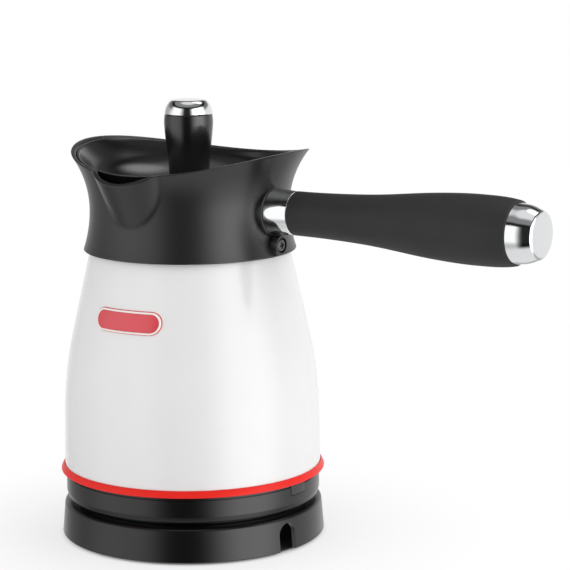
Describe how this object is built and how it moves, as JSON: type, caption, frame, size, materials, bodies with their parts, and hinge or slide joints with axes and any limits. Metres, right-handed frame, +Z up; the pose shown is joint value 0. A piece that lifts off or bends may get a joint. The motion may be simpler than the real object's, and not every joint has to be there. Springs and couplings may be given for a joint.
{
  "type": "electric turkish coffee maker",
  "caption": "Cordless electric coffee pot with a tapering body, spouted collar, dished lid and long side handle, on a round stand whose socket lets it turn and lift off.",
  "frame": {"origin": "on the stand's vertical axis, in the plane that its rubber feet rest on", "axes": "+X along the handle, away from the pot; -Y towards the spout; +Z up"},
  "size_m": [0.239, 0.1202, 0.1979],
  "materials": {
    "white_enamel": "glossy white enamel on thin steel, bare steel inside",
    "satin_black": "satin black moulded plastic",
    "gloss_black": "glossy black moulded plastic",
    "soft_touch_black": "matt soft-touch coating",
    "heatproof_black": "matt thermosetting plastic",
    "trim_red": "glossy red, a little translucent at its edges",
    "badge_red": "glossy red-pink inlay",
    "badge_cream": "pale cream border",
    "bright_chrome": "polished chrome",
    "plated_steel": "zinc-plated steel",
    "element_steel": "dull stainless steel",
    "cast_aluminium": "fine cast aluminium",
    "contact_brass": "bare brass",
    "foot_rubber": "matt black rubber",
    "seal_silicone": "grey silicone rubber",
    "smoky_lens": "smoky translucent lens",
    "lamp_amber": "clear lamp bulb with an amber filler"
  },
  "bodies": {
    "base": {"base_shell": "satin_black", "base_bottom_plate": "satin_black", "base_feet": "foot_rubber", "base_screws": "plated_steel", "socket_housing": "heatproof_black", "socket_inner_leaf": "contact_brass", "socket_outer_leaf": "contact_brass", "socket_screws": "plated_steel"},
    "swivel": {"socket_sleeve": "contact_brass"},
    "pot": {"lower_housing": "satin_black", "housing_screws": "plated_steel", "indicator_lamp": "lamp_amber", "indicator_lens": "smoky_lens", "trim_ring": "trim_red", "vessel": "white_enamel", "heater_plate": "cast_aluminium", "heating_element": "element_steel", "coupler_body": "heatproof_black", "coupler_pin": "contact_brass", "coupler_inner_ring": "contact_brass", "coupler_outer_ring": "contact_brass", "coupler_screws": "plated_steel", "thermostat_disc": "element_steel", "thermostat_pin": "heatproof_black", "terminal_links": "contact_brass", "collar": "satin_black", "collar_seal": "seal_silicone", "neck_bracket": "plated_steel", "bracket_nut": "plated_steel", "collar_screw": "plated_steel", "handle_ferrule": "bright_chrome", "handle_grip": "soft_touch_black", "handle_end_cap": "bright_chrome", "handle_bolt": "plated_steel", "handle_washer": "plated_steel", "badge_plate": "badge_cream", "badge_inlay": "badge_red"},
    "lid": {"lid_dish": "gloss_black", "lid_knob": "gloss_black", "lid_knob_cap": "bright_chrome", "lid_screw": "plated_steel"}
  },
  "joints": [
    {"name": "pot_swivel", "type": "hinge", "parent": "base", "child": "swivel", "pos_m": [0, 0, 0], "axis": [0, 0, 1], "continuous": true},
    {"name": "pot_lift", "type": "slide", "parent": "swivel", "child": "pot", "axis": [0, 0, 1], "range_m": [0, 0.06]},
    {"name": "lid_lift", "type": "slide", "parent": "pot", "child": "lid", "axis": [0, 0, 1], "range_m": [0, 0.05]}
  ]
}
